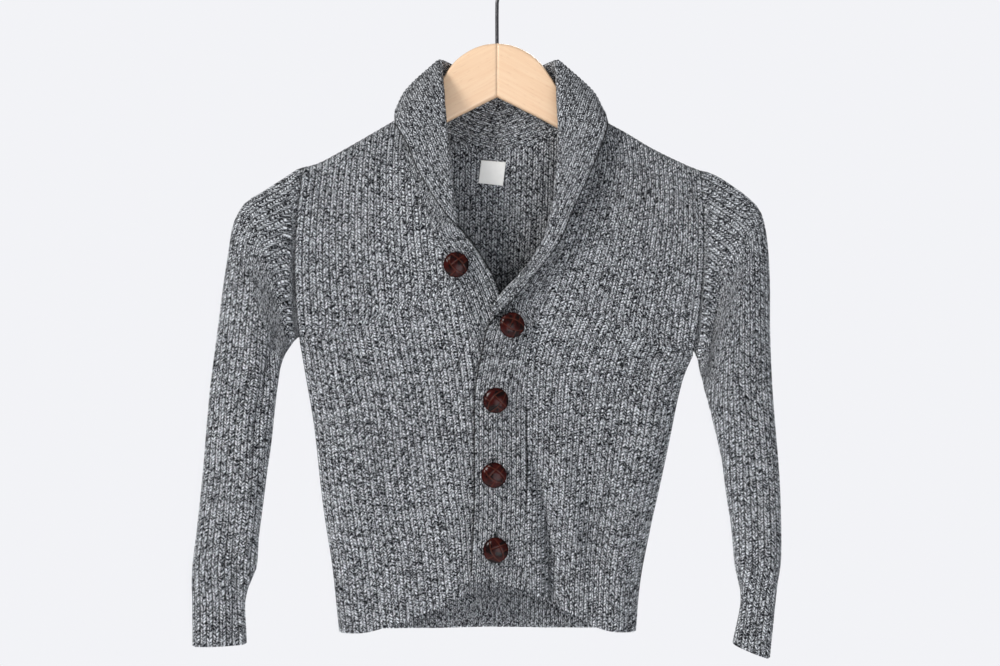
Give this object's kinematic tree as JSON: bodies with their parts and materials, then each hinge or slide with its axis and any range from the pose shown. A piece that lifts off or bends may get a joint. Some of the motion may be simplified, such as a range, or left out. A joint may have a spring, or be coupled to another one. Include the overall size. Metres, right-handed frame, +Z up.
{
  "type": "shawl collar cardigan on a wooden hanger",
  "caption": "Child's rib-knit shawl collar cardigan with leather football buttons, hanging buttoned on a two-piece contoured wooden hanger with a wire hook.",
  "frame": {"origin": "inside top of the hanger's hook, where a rail or wall hook carries it", "axes": "+Z up, -Y the front of the garment, +X the viewer's right, which is the wearer's left"},
  "size_m": [0.5003, 0.078, 0.6217],
  "materials": {
    "knit": "charcoal and off-white marled chunky rib knit",
    "leather": "glossy dark reddish-brown plaited leather",
    "label": "plain off-white woven tape",
    "wood": "light beech with clear satin lacquer",
    "metal": "dark nickel wire"
  },
  "bodies": {
    "root": {"back": "knit", "front_right": "knit", "front_left": "knit", "sleeve_right": "knit", "sleeve_left": "knit", "collar_band_right": "knit", "collar_band_left": "knit", "button_1": "leather", "button_2": "leather", "button_3": "leather", "button_4": "leather", "button_5": "leather", "neck_label": "label", "hanger_arm_right": "wood", "hanger_arm_left": "wood", "hook": "metal"}
  },
  "joints": []
}
